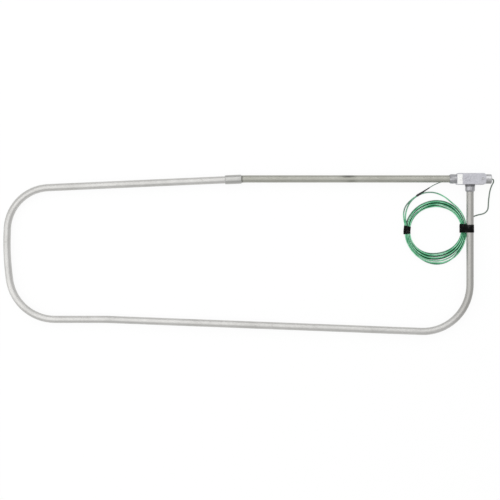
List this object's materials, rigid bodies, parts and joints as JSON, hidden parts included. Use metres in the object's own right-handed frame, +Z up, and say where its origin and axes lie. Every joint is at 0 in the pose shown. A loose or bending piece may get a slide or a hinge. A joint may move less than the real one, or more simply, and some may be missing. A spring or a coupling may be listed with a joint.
{
  "type": "radio loop antenna",
  "caption": "Flat loop antenna: a bent metal tube holding a wire winding, closed by a sleeve and a tee box with a cable gland, its green lead-in cable coiled and taped to the tube.",
  "frame": {"origin": "on the supporting surface, under the middle of the rigid pieces' plan; the cable and its tapes are left out", "axes": "+Z up, out of the loop's plane towards its front; +X along the long sides towards the tee; +Y across the loop towards the top tube"},
  "size_m": [1.2278, 0.4043, 0.031],
  "materials": {
    "zinc_tube": "satin zinc plated steel tube, slightly warm grey",
    "zinc_fitting": "zinc plated steel fittings, satin",
    "plated_gland": "bright nickel plated brass",
    "tee_paint": "grey enamel over a die casting",
    "screw_steel": "zinc plated screws",
    "gasket_rubber": "black sponge rubber",
    "seal_rubber": "black soft rubber",
    "bushing_plastic": "glossy black insulating plastic",
    "washer_steel": "thin plain steel",
    "winding_wire": "insulated winding wire in a bundle",
    "cap_plastic": "moulded splice caps",
    "lead_wire": "insulated hook-up wire",
    "cable_green": "clear green cable sheath",
    "shrink_black": "black heat-shrink tube",
    "tape_black": "black electrical tape"
  },
  "bodies": {
    "antenna": {"loop_tube": "zinc_tube", "top_tube": "zinc_tube", "coupling_sleeve": "zinc_fitting", "coupling_set_screws": "screw_steel", "tee_body": "tee_paint", "tee_gasket": "gasket_rubber", "ground_screw": "screw_steel", "left_connector": "zinc_fitting", "insulating_bushing": "bushing_plastic", "bottom_connector": "zinc_fitting", "gland_body": "plated_gland", "gland_seal": "seal_rubber", "loop_winding": "winding_wire", "splice_caps": "cap_plastic", "inner_leads": "lead_wire", "cable_lead": "cable_green", "cable_coil": "cable_green", "cable_tail": "cable_green", "heat_shrink": "shrink_black", "tail_lead": "cable_green", "coil_tape": "tape_black", "pipe_tape": "tape_black"},
    "cover": {"tee_cover": "tee_paint", "cover_screws": "screw_steel"},
    "left_ring_body": {"left_ring": "zinc_fitting"},
    "left_nut_body": {"left_nut": "zinc_fitting"},
    "bottom_ring_body": {"bottom_ring": "zinc_fitting"},
    "bottom_nut_body": {"bottom_nut": "zinc_fitting"},
    "gland_washer_body": {"gland_washer": "washer_steel"},
    "gland_nut_body": {"gland_nut": "plated_gland"}
  },
  "joints": [
    {"name": "cover_lift", "type": "slide", "parent": "antenna", "child": "cover", "axis": [0, 0, 1], "range_m": [0, 0.03]},
    {"name": "left_ring_slide", "type": "slide", "parent": "antenna", "child": "left_ring_body", "axis": [-1, 0, 0], "range_m": [0, 0.0032]},
    {"name": "left_nut_turn", "type": "hinge", "parent": "left_ring_body", "child": "left_nut_body", "pos_m": [0.51094, 0.18807, 0.0145], "axis": [-1, 0, 0], "range_deg": [0, 900]},
    {"name": "bottom_ring_slide", "type": "slide", "parent": "antenna", "child": "bottom_ring_body", "axis": [0, -1, 0], "range_m": [0, 0.0032]},
    {"name": "bottom_nut_turn", "type": "hinge", "parent": "bottom_ring_body", "child": "bottom_nut_body", "pos_m": [0.55654, 0.16157, 0.0145], "axis": [0, -1, 0], "range_deg": [0, 900]},
    {"name": "gland_washer_slide", "type": "slide", "parent": "antenna", "child": "gland_washer_body", "axis": [1, 0, 0], "range_m": [0, 0.0032]},
    {"name": "gland_nut_turn", "type": "hinge", "parent": "gland_washer_body", "child": "gland_nut_body", "pos_m": [0.60494, 0.18807, 0.0145], "axis": [1, 0, 0], "range_deg": [0, 900]}
  ],
  "couplings": [
    {"joint": "left_ring_slide", "follows": "left_nut_turn", "m_per_rad": 0.00020213},
    {"joint": "bottom_ring_slide", "follows": "bottom_nut_turn", "m_per_rad": 0.00020213},
    {"joint": "gland_washer_slide", "follows": "gland_nut_turn", "m_per_rad": 0.00020213}
  ]
}
